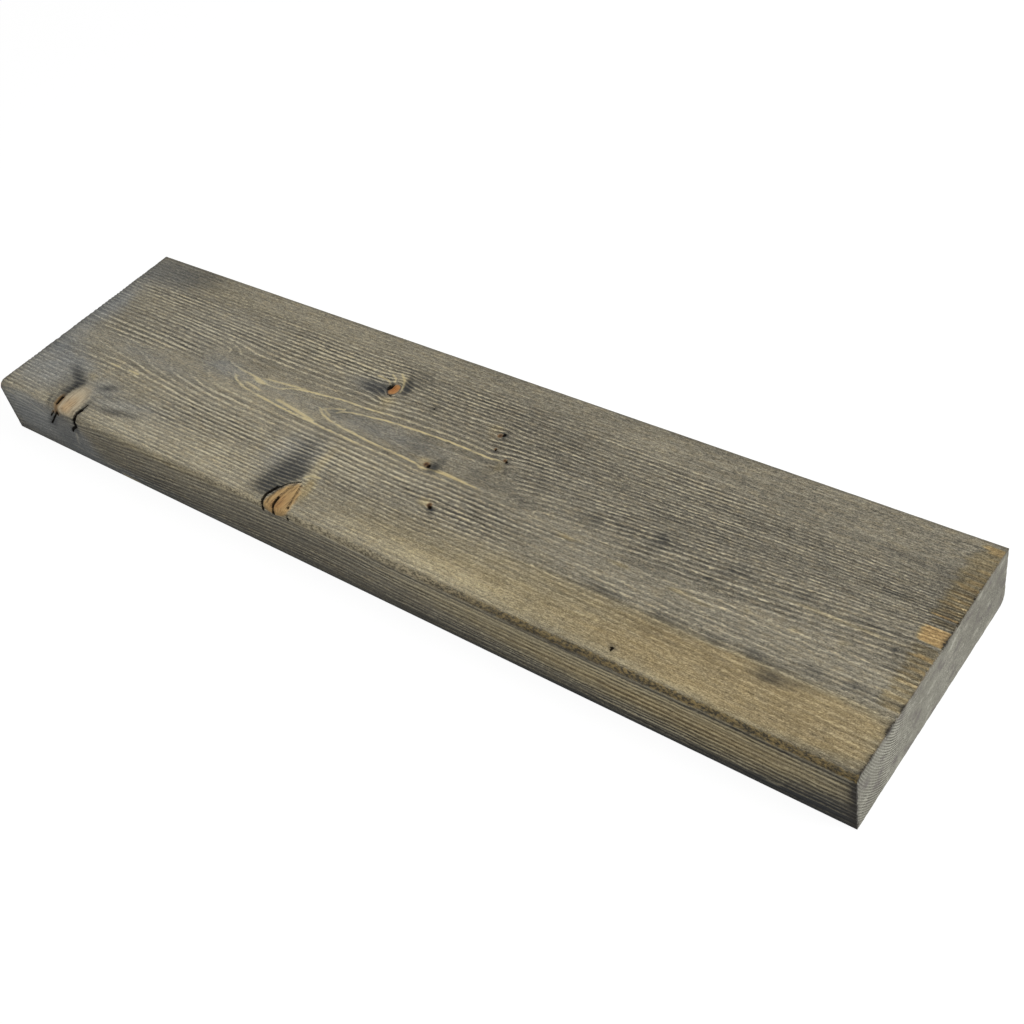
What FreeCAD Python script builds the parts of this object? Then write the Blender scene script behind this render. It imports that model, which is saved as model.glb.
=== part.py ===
"""Floating wall shelf: one thick solid board on two concealed steel supports.

Millimetres. X runs along the shelf, -Y is the front, +Y goes into the wall and +Z is up. The origin is on the
wall plane, midway along the board and halfway up it, which is the level of the wall screws.
"""

import FreeCAD, Part
import math
import os

# Board
board_length = 800.0
board_depth = 200.0
board_thickness = 50.0
top_front_radius = 6.0
top_back_radius = 1.5
bottom_front_radius = 1.0
bottom_back_radius = 7.0

# Concealed supports: each is a pin riveted to a wall plate, at this distance from its end of the board
support_end_distance = 160.0
pin_diameter = 14.0
pin_reach = 146.0
pin_tip_chamfer = 1.5
spigot_diameter = 10.0
rivet_head_diameter = 12.5
rivet_head_height = 1.6

plate_width = 84.0
plate_height = 32.0
plate_thickness = 4.0
plate_corner_radius = 6.0

# Wall screw slots, countersunk from the room side
slot_pitch = 56.0
slot_width = 5.5
slot_length = 11.0
slot_sink_width = 10.5

# Clearances
bore_clearance = 0.25
bore_end_clearance = 3.0
recess_side_clearance = 0.8
recess_floor_clearance = 0.6
rivet_clearance = 0.02
cut_overrun = 1.0

# Angles, in degrees
drill_point_angle = 118.0
slot_sink_angle = 90.0

wall_plane = 0.0
back_to_front = FreeCAD.Vector(0, -1, 0)
along_board = FreeCAD.Vector(1, 0, 0)


def point(x, y, z):
    return FreeCAD.Vector(x, y, z)


def outline_face(edges):
    """A flat face inside a closed run of edges."""
    return Part.Face(Part.Wire([edge.toShape() for edge in edges]))


def eased_corner(y, z, inward_y, inward_z, radius):
    """Start, middle and end of the quarter round that eases one long edge of the board at (y, z).

    It starts on the face that meets the edge along Y and ends on the one that meets it along Z.
    """
    centre_y = y + inward_y * radius
    centre_z = z + inward_z * radius
    half_way = radius * math.cos(math.radians(45))
    return (
        point(0, centre_y, z),
        point(0, centre_y - inward_y * half_way, centre_z - inward_z * half_way),
        point(0, y, centre_z),
    )


def board_blank():
    """The plank before boring: its long edges are eased, each by its own radius, and its ends are sawn square."""
    top = board_thickness / 2
    front = wall_plane - board_depth
    top_front = eased_corner(front, top, 1, -1, top_front_radius)
    bottom_front = eased_corner(front, -top, 1, 1, bottom_front_radius)
    bottom_back = eased_corner(wall_plane, -top, -1, 1, bottom_back_radius)
    top_back = eased_corner(wall_plane, top, -1, -1, top_back_radius)
    edges = [
        Part.Arc(*top_front),
        Part.LineSegment(top_front[2], bottom_front[2]),
        Part.Arc(*reversed(bottom_front)),
        Part.LineSegment(bottom_front[0], bottom_back[0]),
        Part.Arc(*bottom_back),
        Part.LineSegment(bottom_back[2], top_back[2]),
        Part.Arc(*reversed(top_back)),
        Part.LineSegment(top_back[0], top_front[0]),
    ]
    blank = outline_face(edges).extrude(along_board * board_length)
    blank.translate(along_board * (-board_length / 2))
    return blank


def rounded_slab(x, width, height, radius, y_from, y_to):
    """A slab with rounded corners, standing in the XZ plane about (x, 0), between two depths."""
    slab = Part.makeBox(width, y_from - y_to, height, point(x - width / 2, y_to, -height / 2))
    uprights = [
        edge
        for edge in slab.Edges
        if abs(edge.tangentAt(edge.FirstParameter).y) > math.cos(math.radians(1))
    ]
    return slab.makeFillet(radius, uprights)


def turned(x, stations):
    """A solid of revolution about the level axis through (x, 0). Stations are (depth, radius), from back to front."""
    rim = [point(x + radius, y, 0) for y, radius in stations]
    corners = [point(x, stations[0][0], 0), *rim, point(x, stations[-1][0], 0)]
    corners = [p for i, p in enumerate(corners) if i == 0 or not p.isEqual(corners[i - 1], 0)]
    edges = [
        Part.LineSegment(a, b) for a, b in zip(corners, corners[1:] + corners[:1])
    ]
    return outline_face(edges).revolve(point(x, 0, 0), back_to_front, 360)


def rivet_stations(clearance):
    """The pin's tail: a spigot through the plate, peened over into the countersink at the wall plane."""
    spigot_radius = spigot_diameter / 2 + clearance
    head_radius = rivet_head_diameter / 2 + clearance
    return [
        (wall_plane, head_radius),
        (wall_plane - rivet_head_height, spigot_radius),
        (wall_plane - plate_thickness, spigot_radius),
    ]


def support_pin(x):
    """Steel pin: shoulder against the plate, plain shank, chamfered tip."""
    pin_radius = pin_diameter / 2
    shoulder = wall_plane - plate_thickness
    tip = shoulder - pin_reach
    stations = rivet_stations(0) + [
        (shoulder, pin_radius),
        (tip + pin_tip_chamfer, pin_radius),
        (tip, pin_radius - pin_tip_chamfer),
    ]
    return turned(x, stations)


def screw_slot(x):
    """The space of one wall screw slot, drawn out along X, with its countersink towards the room."""
    half_run = (slot_length - slot_width) / 2
    front = wall_plane - plate_thickness
    sink_rise = (slot_sink_width - slot_width) / 2
    sink_depth = sink_rise / math.tan(math.radians(slot_sink_angle / 2))
    through = [
        (wall_plane + cut_overrun, slot_width / 2),
        (front - cut_overrun, slot_width / 2),
    ]
    sink = [
        (front + sink_depth, slot_width / 2),
        (front, slot_sink_width / 2),
        (front - cut_overrun, slot_sink_width / 2),
    ]
    ends = []
    for side in (-1, 1):
        ends += [turned(x + side * half_run, through), turned(x + side * half_run, sink)]
    between = [swept_between(x, half_run, through), swept_between(x, half_run, sink)]
    space = ends[0].multiFuse(ends[1:] + between)
    return space.removeSplitter()


def swept_between(x, half_run, stations):
    """The straight stretch of a slot whose section across X is given by (depth, half height)."""
    upper = [point(x - half_run, y, half_height) for y, half_height in stations]
    lower = [point(x - half_run, y, -half_height) for y, half_height in reversed(stations)]
    corners = upper + lower
    edges = [
        Part.LineSegment(a, b) for a, b in zip(corners, corners[1:] + corners[:1])
    ]
    return outline_face(edges).extrude(along_board * (2 * half_run))


def wall_plate(x):
    """Steel wall plate: rounded corners, a riveted seat for the pin and a screw slot on each side of it."""
    plate = rounded_slab(
        x, plate_width, plate_height, plate_corner_radius, wall_plane, wall_plane - plate_thickness
    )
    rivet_space = [(wall_plane + cut_overrun, rivet_head_diameter / 2 + rivet_clearance)]
    rivet_space += rivet_stations(rivet_clearance)
    last_depth, last_radius = rivet_space[-1]
    rivet_space.append((last_depth - cut_overrun, last_radius))
    plate = plate.cut(turned(x, rivet_space))
    for side in (-1, 1):
        plate = plate.cut(screw_slot(x + side * slot_pitch / 2))
    return plate


def plate_recess(x):
    """The pocket in the board's back edge that hides one wall plate."""
    floor = wall_plane - plate_thickness - recess_floor_clearance
    return rounded_slab(
        x,
        plate_width + 2 * recess_side_clearance,
        plate_height + 2 * recess_side_clearance,
        plate_corner_radius + recess_side_clearance,
        wall_plane + cut_overrun,
        floor,
    )


def pin_bore(x):
    """The blind bore for one pin, with the cone that the drill's point leaves."""
    bore_radius = pin_diameter / 2 + bore_clearance
    end = wall_plane - plate_thickness - pin_reach - bore_end_clearance
    point_depth = bore_radius / math.tan(math.radians(drill_point_angle / 2))
    return turned(
        x,
        [(wall_plane, bore_radius), (end, bore_radius), (end - point_depth, 0)],
    )


def board(support_places):
    """The board, pocketed and bored for each support."""
    spaces = []
    for x in support_places:
        spaces += [plate_recess(x), pin_bore(x)]
    return board_blank().cut(spaces)


def main():
    support_offset = board_length / 2 - support_end_distance
    support_places = {"left": -support_offset, "right": support_offset}
    pieces = {"board": board(support_places.values())}
    for side, x in support_places.items():
        pieces[side + "_wall_plate"] = wall_plate(x)
        pieces[side + "_support_pin"] = support_pin(x)
    os.makedirs("parts", exist_ok=True)
    for name, shape in pieces.items():
        for solid in shape.Solids:
            assert solid.isValid() and solid.Volume > 0, name
        Part.makeCompound(shape.Solids).exportStep(os.path.join("parts", name + ".step"))
        print(name, len(shape.Solids), "solid,", round(shape.Volume / 1000, 2), "cm3")


main()
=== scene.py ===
import math
import bmesh
import bpy
import numpy as np
from mathutils import Euler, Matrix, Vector
from mathutils.geometry import delaunay_2d_cdt


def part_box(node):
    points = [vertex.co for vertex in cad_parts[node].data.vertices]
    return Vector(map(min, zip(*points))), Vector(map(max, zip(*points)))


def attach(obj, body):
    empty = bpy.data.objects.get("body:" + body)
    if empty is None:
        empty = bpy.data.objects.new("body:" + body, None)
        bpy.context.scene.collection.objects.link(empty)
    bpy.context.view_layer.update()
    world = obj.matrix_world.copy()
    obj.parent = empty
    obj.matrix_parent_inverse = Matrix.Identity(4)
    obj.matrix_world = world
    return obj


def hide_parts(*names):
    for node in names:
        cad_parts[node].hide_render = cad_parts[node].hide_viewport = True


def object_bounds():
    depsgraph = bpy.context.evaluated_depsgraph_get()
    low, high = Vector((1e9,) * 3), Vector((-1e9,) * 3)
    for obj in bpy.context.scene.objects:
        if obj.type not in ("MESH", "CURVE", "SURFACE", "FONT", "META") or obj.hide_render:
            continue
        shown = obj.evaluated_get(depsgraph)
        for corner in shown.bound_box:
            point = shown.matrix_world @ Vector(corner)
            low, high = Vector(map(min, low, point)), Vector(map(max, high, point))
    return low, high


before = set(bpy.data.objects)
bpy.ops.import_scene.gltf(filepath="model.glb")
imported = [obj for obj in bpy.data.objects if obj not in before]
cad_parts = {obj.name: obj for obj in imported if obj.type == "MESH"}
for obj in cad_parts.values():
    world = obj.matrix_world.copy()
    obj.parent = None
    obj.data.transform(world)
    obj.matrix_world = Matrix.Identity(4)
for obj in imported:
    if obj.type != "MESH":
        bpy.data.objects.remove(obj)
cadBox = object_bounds()
mm = 0.001  # sizes and places below are in millimetres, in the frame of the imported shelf


# ---- small tools shared by the pieces
def smoothStep(low, high, value):
    t = np.clip((value - low) / (high - low), 0, 1)
    return t * t * (3 - 2 * t)


def bell(value, middle, reach):  # 1 in the middle, falling off on both sides
    return np.exp(-((value - middle) / reach) ** 2)


def fadeFrom(distance, reach):  # 1 at an edge, falling off with the distance from it
    return np.exp(-np.maximum(distance, 0) / reach)


def latticeNoise(points, seed):  # smooth noise from -1 to 1, one cell per unit
    cell = np.floor(points).astype(np.int64)
    t = points - cell
    t = t * t * t * (t * (t * 6 - 15) + 10)
    total = np.zeros(len(points))
    for corner in range(8):
        step = np.array([corner & 1, corner >> 1 & 1, corner >> 2 & 1])
        key = ((cell + step) * np.array([73856093, 19349663, 83492791])).sum(1) + seed * 2654435761
        key = (key ^ (key >> 13)) * 1274126177 & 0xFFFFFFFF
        key = (key ^ (key >> 16)) * 2246822519 & 0xFFFFFFFF
        weight = np.where(step, t, 1 - t).prod(1)
        total += weight * ((key ^ (key >> 15)) % 65536 / 32767.5 - 1)
    return total


def noiseAt(points, grain, seed, octaves=1):  # grain is the size of one cell along x, y and z
    total = np.zeros(len(points))
    for octave in range(octaves):
        cells = points / np.array(grain) * 2 ** octave + 17.3 * octave
        total += latticeNoise(cells, seed + octave) * 0.5 ** octave
    return total


def fromPath(points, path):  # how far each point is from a path, in shares of its half width
    ways, halfWidth = np.array([(*way, topLevel)[:3] for way in path[:-1]], dtype=float), path[-1]
    nearest = np.full(len(points), 9)
    for start, end in zip(ways, ways[1:]):
        share = np.clip((points - start) @ (end - start) / ((end - start) ** 2).sum(), 0, 1)
        reached = start + share[:, None] * (end - start)
        nearest = np.minimum(nearest, np.linalg.norm(points - reached, axis=1) / halfWidth)
    return nearest


def readAll(items, name, width=1, kind=float):  # one value, or a row of them, for each item of a mesh
    values = np.empty(len(items) * width, dtype=kind)
    items.foreach_get(name, values)
    return values.reshape(-1, width) if width > 1 else values


# ---- camera, as the photograph was taken
cameraPlace = {
    "eye": (617.3, -608.9, 695.2),
    "aim": (78, -102.1, 0),
    "roll": -13.72,   # degrees
    "lens": 49.71,
    "sensor": 36,
    "clip": (0.01, 50),   # metres
}


def placeCamera():
    eye, aim = Vector(cameraPlace["eye"]) * mm, Vector(cameraPlace["aim"]) * mm
    camera = bpy.data.objects.new("photoCamera", bpy.data.cameras.new("photoCamera"))
    camera.data.lens = cameraPlace["lens"]
    camera.data.sensor_width = cameraPlace["sensor"]
    camera.data.clip_start, camera.data.clip_end = cameraPlace["clip"]
    camera.location = eye
    look = (aim - eye).to_track_quat("-Z", "Y").to_matrix()
    roll = Euler((0, 0, math.radians(cameraPlace["roll"]))).to_matrix()
    camera.rotation_euler = (look @ roll).to_euler()
    bpy.context.collection.objects.link(camera)
    bpy.context.scene.camera = camera


placeCamera()
print("camera placed")

# ---- how the wood grew: year rings round a pith above the top face, and the branches that crossed them
topLevel = 25   # the level of the top face, where a place below names only x and y
figure = {
    "ringsPerMm": 0.298,      # on the top face, away from the pith
    "ringsNearPith": 0.24,
    # stations along the board; at each the line right under the pith, and how far the rings lie flat
    # behind that line and in front of it
    "stations": (-400, -300, -258, -214, -160, -107, -87, -50, 0, 58, 84, 120, 200, 300, 400),
    "fold": (-116, -110, -104.5, -98.5, -96.7, -97.5, -97.5, -97.5, -97.5, -98, -110, -117, -120.5, -121, -117),
    "foldRest": -98,
    "flatBehind": (29, 28.5, 28, 26, 25, 22.4, 20.8, 18.4, 16.6, 16, 6, 3, 3, 3, 3),
    "flatBefore": (29, 28.5, 28, 26, 25, 22.4, 20.8, 18.4, 16.6, 16, 8, 4, 4, 4, 4),
    "flatReach": 35,
    "flameTip": 26,         # the flame's first tip is where the rings lie as flat as this
    "flameStart": -238,     # left of here the lines behind the flame run straight on
    "driftBehind": 0.005,     # rings per millimetre along the left half
    "driftBefore": -0.002,
    "climbFrom": 60,
    "climb": 0.0225,          # and on the right half, where the lines behind the fold climb
    "climbTop": (-95, -38),
    "sinkBefore": 0.0095,     # and those near the front edge sink
    "frontPitch": 4.1,        # on the front face
    "frontRise": 0.085,
    "endPith": (-125, 48),
    "endRingsPerMm": 0.56,
    "wander": 0.30,           # how far the lines stray, in rings: in long bends, in short ones
    "flutter": 0.10,
    "frontWander": 0.45,
    "featherWander": 0.34,    # where the lines fray, right of the flame
    "rightFlutter": 0.12,
    "endWander": 0.3,
}

# Each knot: where its axis passes, its radii across, along and up the branch, how far the branch tips down
# and turns, how blunt its outline is, how hard it pushes the rings aside, how soft its edge is, its colours
edgeKnots, innerKnots = 2, 3   # how many of them lie on the front edge, and how many are wide
knots = [
    dict(at=(-313.2, -197, 26), radii=(13.4, 35, 5.5), tip=3, turn=6, blunt=2.4,
         push=0.12, soft=0.26, rim=0, tone=(176, 162, 136), heart=(184, 156, 118)),
    dict(at=(-64.4, -201, 26), radii=(14.2, 33.5, 7), tip=0, turn=0, blunt=1.8,
         push=0.14, soft=0.12, rim=0, tone=(172, 142, 96), heart=(160, 120, 74)),
    dict(at=(-70.2, -54.2, 25), radii=(4.7, 56, 2.85), tip=-26, turn=0, blunt=2,
         push=1.3, soft=0.16, rim=0.6, tone=(158, 112, 66), heart=(138, 84, 38)),
    dict(at=(9.6, -109.8, 25), radii=(3.3, 60, 1.8), tip=38, turn=0, blunt=2,
         push=1.3, soft=0.35, rim=0.2, tone=(114, 86, 54), heart=(56, 38, 20)),
]
for at, radii, tip, push in (  # the other pin knots look like the last one
    ((39.4, -142.2, 25), (2.8, 45, 1.5), 30, 1.3),
    ((40.6, -60.2, 25), (2.6, 60, 1.3), -28, 1.3),
    ((60.5, -80.3, 25), (2, 40, 1.3), -40, 1.2),
    ((46.5, -73.5, 25), (1.2, 40, 0.9), -35, 0.9),
):
    knots.append(dict(knots[3], at=at, radii=radii, tip=tip, push=push))


def knotSpan(points, knot):  # 0 on the branch's axis, 1 at its bark
    turn = np.array(Euler((math.radians(knot["tip"]), 0, math.radians(knot["turn"]))).to_matrix())
    local = (points - np.array(knot["at"])) @ turn
    return (np.abs(local / np.array(knot["radii"])) ** knot["blunt"]).sum(1) ** (1 / knot["blunt"])


def alongBoard(x, values):  # a smooth curve through the stations
    at = figure["stations"]
    return sum(share * np.interp(x + shift, at, values) for shift, share in ((-8, 0.25), (0, 0.5), (8, 0.25)))


def topRings(x, y):
    near, rate = figure["ringsNearPith"], figure["ringsPerMm"]
    away = y - alongBoard(x, figure["fold"])
    behind = away > 0
    away = np.abs(away)
    spread = 3 + 42 * smoothStep(20, 32, away)
    opened = smoothStep(figure["flameStart"] - spread, figure["flameStart"] + spread, x)
    flatBehind = 3 + (alongBoard(x, figure["flatBehind"]) - 3) * opened
    flat = np.where(behind, flatBehind, alongBoard(x, figure["flatBefore"]))
    out = np.where(behind, y - figure["foldRest"], figure["foldRest"] - y)
    folded = (np.hypot(away, flat) - away) * np.exp(-(away / figure["flatReach"]) ** 2)
    rings = near * (out + folded - figure["flameTip"])
    rings += (rate - near) * out * np.abs(out) / (np.abs(out) + 25)
    left = np.minimum(x + 60, 0) * smoothStep(8, 40, away)
    rings += left * np.where(behind, figure["driftBehind"], figure["driftBefore"])
    right = np.maximum(x - figure["climbFrom"], 0)
    climb = figure["climb"] * (1 - smoothStep(*figure["climbTop"], y))
    sink = figure["sinkBefore"] * smoothStep(-146, -178, y) - 0.0035
    return rings - right * np.where(behind, climb, sink)


def ringCount(points, low, high, onEnd=False):  # how many years lie between the pith and each point
    moved = points.copy()
    onTop = smoothStep(high[2] - 14, high[2] - 4, points[:, 2])
    for number, knot in enumerate(knots):
        aside = (points - np.array(knot["at"])) * np.array([0, 1, 1])
        push = knot["push"] / (knotSpan(points, knot) ** 2 + 0.5) * (1 if number < edgeKnots else onTop)
        moved -= push[:, None] * aside
    x, y, z = moved.T
    pithY, pithZ = figure["endPith"]
    radius = np.hypot(y - pithY, z - pithZ)
    if onEnd:
        return figure["endRingsPerMm"] * radius + figure["endWander"] * noiseAt(points, (60, 30, 30), 5, 2)
    rise = figure["frontRise"] * (1 - smoothStep(-120, 60, x))
    onFront = (high[2] - z + rise * (x + 90)) / figure["frontPitch"] + 40
    under = 0.2 * radius + 0.0008 * radius ** 2
    front = smoothStep(low[1] + 3.4, low[1] + 1.6, points[:, 1])
    deep = smoothStep(low[2] + 3, low[2] + 0.5, points[:, 2])
    deep = np.maximum(deep, smoothStep(high[1] - 1.6, high[1] - 0.3, points[:, 1]))
    rings = topRings(x, y) * (1 - front) + onFront * front
    rings = rings * (1 - deep) + under * deep
    inFlame = bell(points[:, 1], -98, 22) * (1 - smoothStep(50, 90, x)) * (1 - front)
    feather = smoothStep(70, 170, x) * bell(y, -133, 15)
    for stray, grain, seed, octaves in (
        (figure["wander"] * (1 - 0.95 * inFlame), (150, 26, 26), 3, 2),
        (figure["flutter"] * (1 - 0.9 * inFlame), (20, 4, 6), 7, 2),
        (figure["frontWander"] * front, (160, 9, 7), 13, 2),
        (figure["featherWander"] * feather, (13, 8, 10), 11, 2),
        (figure["rightFlutter"] * smoothStep(60, 170, x), (13, 5, 8), 19, 1),
    ):
        rings += stray * noiseAt(points, grain, seed, octaves)
    return rings


def ringDensity(points, low, high, onEnd, outward):  # rings per millimetre along the surface
    step = 0.3
    here = ringCount(points, low, high, onEnd)
    if onEnd:
        ways = [np.array(way) * step for way in ((0, 1, 0), (0, 0, 1))]
    else:
        tangent = np.column_stack([np.zeros(len(points)), -outward[:, 1], outward[:, 0]])
        ways = [np.array([step, 0, 0]), tangent * step]
    return np.hypot(*[ringCount(points + way, low, high, onEnd) - here for way in ways]) / step


# ---- where the stain took dark, took warm or washed out grey, and where shade and a reflection are painted into the front face's colour
# each patch: x, y, half length, half width, strength and its turn in degrees; on the front face z stands for y
darkPatches = [
    (-368, -17, 46, 19, 0.5, 4), (-335, -11, 24, 12, 0.3), (-399, -95, 8, 90, 0.3),
    (-334, -163, 12, 4, 1, -24), (-329, -169.5, 4.4, 6, 0.9, -20), (-328.5, -167, 5.6, 5.4, 1),
    (-344, -156, 15, 4.6, 0.62, -24), (-329.5, -176, 4.2, 12, 0.85), (-333, -178.5, 4.4, 6, 0.7),
    (-336, -194, 2.2, 8, 0.8, 24), (-331, -193, 1.8, 8, 0.65, 22), (-341, -172, 12, 15, 0.3),
    (-299, -178, 3, 7, 0.4, 10), (-297.5, -160.5, 9.5, 4, 0.8, 24), (-286, -169, 13, 3.6, 0.42, 10),
    (-264, -179, 22, 3.8, 0.8, 11), (-298, -191, 3.6, 9, 0.9), (-288, -181, 14, 4, 0.3, 8),
    (-73, -162.5, 5.2, 10, 1, -26), (-79.5, -174, 7.4, 16, 1, -24), (-80.5, -182, 5, 8, 0.9, -20),
    (-86, -168, 10, 22, 0.92, -20), (-85, -146, 9, 26, 0.52, 4), (-88, -181, 7.5, 8, 0.95, -20),
    (-93, -164, 9, 24, 0.3, -10), (-84, -184.5, 5, 5, 0.6), (-88.5, -58.5, 14, 7.5, 0.85, -6),
    (-79, -58, 5.6, 6.4, 1), (-62.6, -45.5, 4, 12, 1, 22), (-60, -51, 3.4, 5, 0.9), (-56, -42, 8, 10, 0.4),
    (-62, -30, 14, 10, 0.28), (-88, -71, 20, 5, 0.24), (-27, -50, 1.6, 3.6, 0.65, 12),
    (-25, -58, 1.5, 3, 0.6), (-30, -52, 10, 8, 0.22), (-8, -97, 15, 7, 0.4), (-95, -97, 16, 5, 0.35),
    (-60, -98, 40, 9, 0.22), (17, -110.8, 5.2, 5.4, 1), (18, -103.5, 4.4, 4, 0.6), (43.6, -58.4, 3, 3.6, 1),
    (47.4, -74.4, 2.6, 2.6, 0.85), (63.6, -81, 2.8, 2.6, 0.85), (43.6, -145.4, 4.6, 2.8, 1, -42),
    (52, -101, 10, 6, 0.4), (70, -106, 16, 5, 0.25), (40, -65, 8, 9, 0.18), (100, -92, 4, 6, 0.45),
    (98, -107, 12, 4, 0.3), (154, -97, 4, 6, 0.5), (149, -104, 12, 4, 0.3), (206, -94, 9, 5, 0.45),
    (203, -101, 6, 6, 0.35), (263, -96, 8, 5, 0.45), (258, -101, 6, 5, 0.3), (310, -94, 7, 4, 0.42),
    (249.5, -110, 1.8, 3.2, 0.75), (355, -96, 10, 5, 0.25), (196, -151, 15, 3.4, 0.6, -4),
    (242, -152, 15, 3.4, 0.62, -3), (280, -152.5, 9, 4, 0.55), (313, -151, 11, 2.6, 0.6, 4),
    (342, -144, 12, 3, 0.58, 5), (371, -143, 10, 3.4, 0.58, 5), (324, -161, 15, 4.8, 0.66),
    (322, -160, 6.5, 4.8, 0.6), (304, -149, 9, 3.4, 0.5), (338, -158, 18, 3.4, 0.45, 3),
    (340, -150, 30, 3, 0.3, 4), (227.5, -187, 2.2, 1.6, 0.75), (218, -122, 20, 2.4, 0.25),
    (330, -133, 50, 7, 0.18), (361, -66, 6, 3, 0.45), (377, -108, 1.6, 2.6, 0.75), (392, -73.5, 9, 4.5, 0.5),
    (394, -97, 6, 3, 0.4), (230, -70, 190, 40, 0.15, 4), (30, -33, 110, 14, 0.16),
    (300, -32, 100, 4, 0.16, -6), (120, -8, 80, 4, 0.1), (-60, -178, 40, 30, 0.1),
]
warmPatches = [
    (366, -162, 46, 9, 0.4, 2), (330, -178, 110, 22, 0.62), (150, -180, 190, 22, 0.52),
    (230, -158, 160, 7, 0.34), (310, -165, 80, 6, 0.26), (330, -184, 80, 8, 0.3), (340, -102, 52, 2, 0.45),
    (-65, -142, 6, 22, 0.42, 4), (-55, -172, 5, 13, 0.62, 14), (-64, -75, 9, 8, 0.34, -30),
    (-68, -42, 9, 5, 0.45, -20), (33, -56, 7, 7, 0.45), (37, -66, 6, 3, 0.35), (61, -88, 5, 9, 0.42),
    (32, -112, 22, 1.8, 0.6), (146, -122.5, 9, 2.6, 0.55), (192, -126.5, 9, 2.6, 0.52),
    (238, -128, 10, 2.4, 0.5, 4), (285, -122, 5, 3, 0.45), (318, -122, 5, 3, 0.45), (348, -117, 5, 3, 0.42),
    (255, -130, 14, 1.8, 0.4, 5), (300, -158, 22, 1.8, 0.5), (-324, -155, 9, 5, 0.4, -20),
    (-66.5, -66, 12, 4, 0.4), (-290, -22, 60, 10, 0.22, -3), (-160, -20, 90, 12, 0.16),
    (-365, -140, 14, 4, 0.28, -20), (-330, -60, 60, 30, 0.14), (-35, -17, 22, 8, 0.12),
    (6, -107.5, 7, 5, 0.5), (10, -114.5, 5, 3, 0.45), (34.5, -141, 7, 4, 0.5), (120, -140, 60, 12, 0.16),
    (0, -160, 60, 20, 0.1), (-240, -178, 60, 12, 0.1),
]
greyPatches = [
    (-392, -75, 18, 30, 0.55), (-396, -100, 14, 90, 0.45), (-372, -18, 44, 22, 0.5, 4),
    (-368, -165, 36, 30, 0.7), (-352, -148, 40, 10, 0.4, -12), (-385, -130, 20, 20, 0.4),
    (-300, -163, 22, 12, 0.45, 10), (-270, -172, 40, 9, 0.4, 12), (-225, -95, 26, 12, 0.42),
    (-160, -97, 60, 8, 0.3), (-90, -150, 30, 34, 0.45, -20), (-90, -58, 26, 12, 0.45),
    (-40, -97, 70, 10, 0.45), (-20, -165, 40, 25, 0.2), (90, -75, 60, 30, 0.12), (240, -75, 150, 34, 0.1, 4),
    (-290, -116, 70, 9, 0.28, -4), (-190, -140, 70, 26, 0.18), (-330, -90, 90, 60, 0.22),
    (-250, -50, 70, 44, 0.2), (-240, -182, 60, 26, 0.25),
]
# on the front, the strips along the bottom edge (z -23 to -25.5) and down the right corner (x 400) are painted
# shade; the rest is dark stain
frontDarkAndShadePatches = [
    (362, -19.5, 48, 6.5, 1, 1.5), (386, -14, 18, 9, 0.85), (400, 0, 3.6, 30, 1), (352, -23, 44, 3.4, 1),
    (-250, -7, 55, 8, 0.22), (230, 19.2, 210, 1.4, 0.85), (376, -12, 30, 12, 0.75),
    (240, -23, 110, 3.4, 0.85), (0, -25.5, 420, 2.2, 0.9), (50, -24, 200, 3, 0.4),
    (-332, 8, 3.4, 11, 0.85, -38), (-339, 6, 2.4, 9, 0.6, -38), (-318, 12, 13, 12, 0.4),
    (-322, -6, 20, 12, 0.5), (-300.5, 14, 3, 11, 0.9, -10), (-307, 8, 4.4, 3.4, 0.85, 20),
    (-60, 21, 22, 4, 0.45), (-150, -10, 120, 9, 0.26, 3), (-40, 8, 90, 7, 0.28, 2), (60, -15, 120, 8, 0.3),
    (-60, -18, 30, 5, 0.2), (-215, -12, 20, 5, 0.3, 15), (-399, 0, 2.5, 26, 0.5), (350, 20, 50, 3, 0.28),
    (280, -12, 90, 5, 0.22), (200, 20, 60, 2, 0.22),
]
# painted reflection: the pale blue-grey on the front's left end and along its lower left edge
frontReflectionPatches = [
    (-365, 4, 48, 30, 1), (-312, -6, 26, 22, 0.85), (-250, -20, 60, 6, 0.55, 2), (-150, -21, 60, 5, 0.35),
    (-300, -16, 40, 8, 0.5), (-20, -20, 100, 5, 0.2),
]
frontWarmPatches = [
    (330, 8, 90, 16, 0.55), (160, 10, 120, 14, 0.45), (230, -2, 120, 10, 0.4), (-190, 21, 90, 4, 0.4),
    (-20, 23, 90, 3, 0.3), (320, -12, 60, 6, 0.25),
]
smoothSpots = [  # where the figure is hard to see on top: x, y, half length, half width, how much is lost
    (-270, -174, 40, 14, 0.5), (-238, -90, 20, 16, 0.97), (-206, -97, 22, 5, 0.85),
    (-262, -108, 34, 13, 0.92), (-330, -110, 60, 8, 0.7), (-385, -114, 30, 12, 0.6), (-270, -105, 30, 7, 0.7),
    (70, -98, 16, 17, 0.75), (-20, -97, 80, 10, 0.6), (-345, -170, 14, 26, 0.6), (-315, -172, 26, 26, 0.6),
    (-365, -165, 40, 34, 0.42), (-368, -18, 40, 22, 0.4), (205, -119, 120, 3, 0.45),
    (220, -184, 230, 27, 0.86), (-280, -172, 56, 20, 0.45), (-388, -100, 34, 90, 0.45),
    (-30, -186, 70, 17, 0.45), (-240, -188, 70, 13, 0.35), (-300, -145, 60, 16, 0.35),
    (366, -160, 40, 9, 0.5), (330, -101, 50, 3, 0.5),
]
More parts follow.
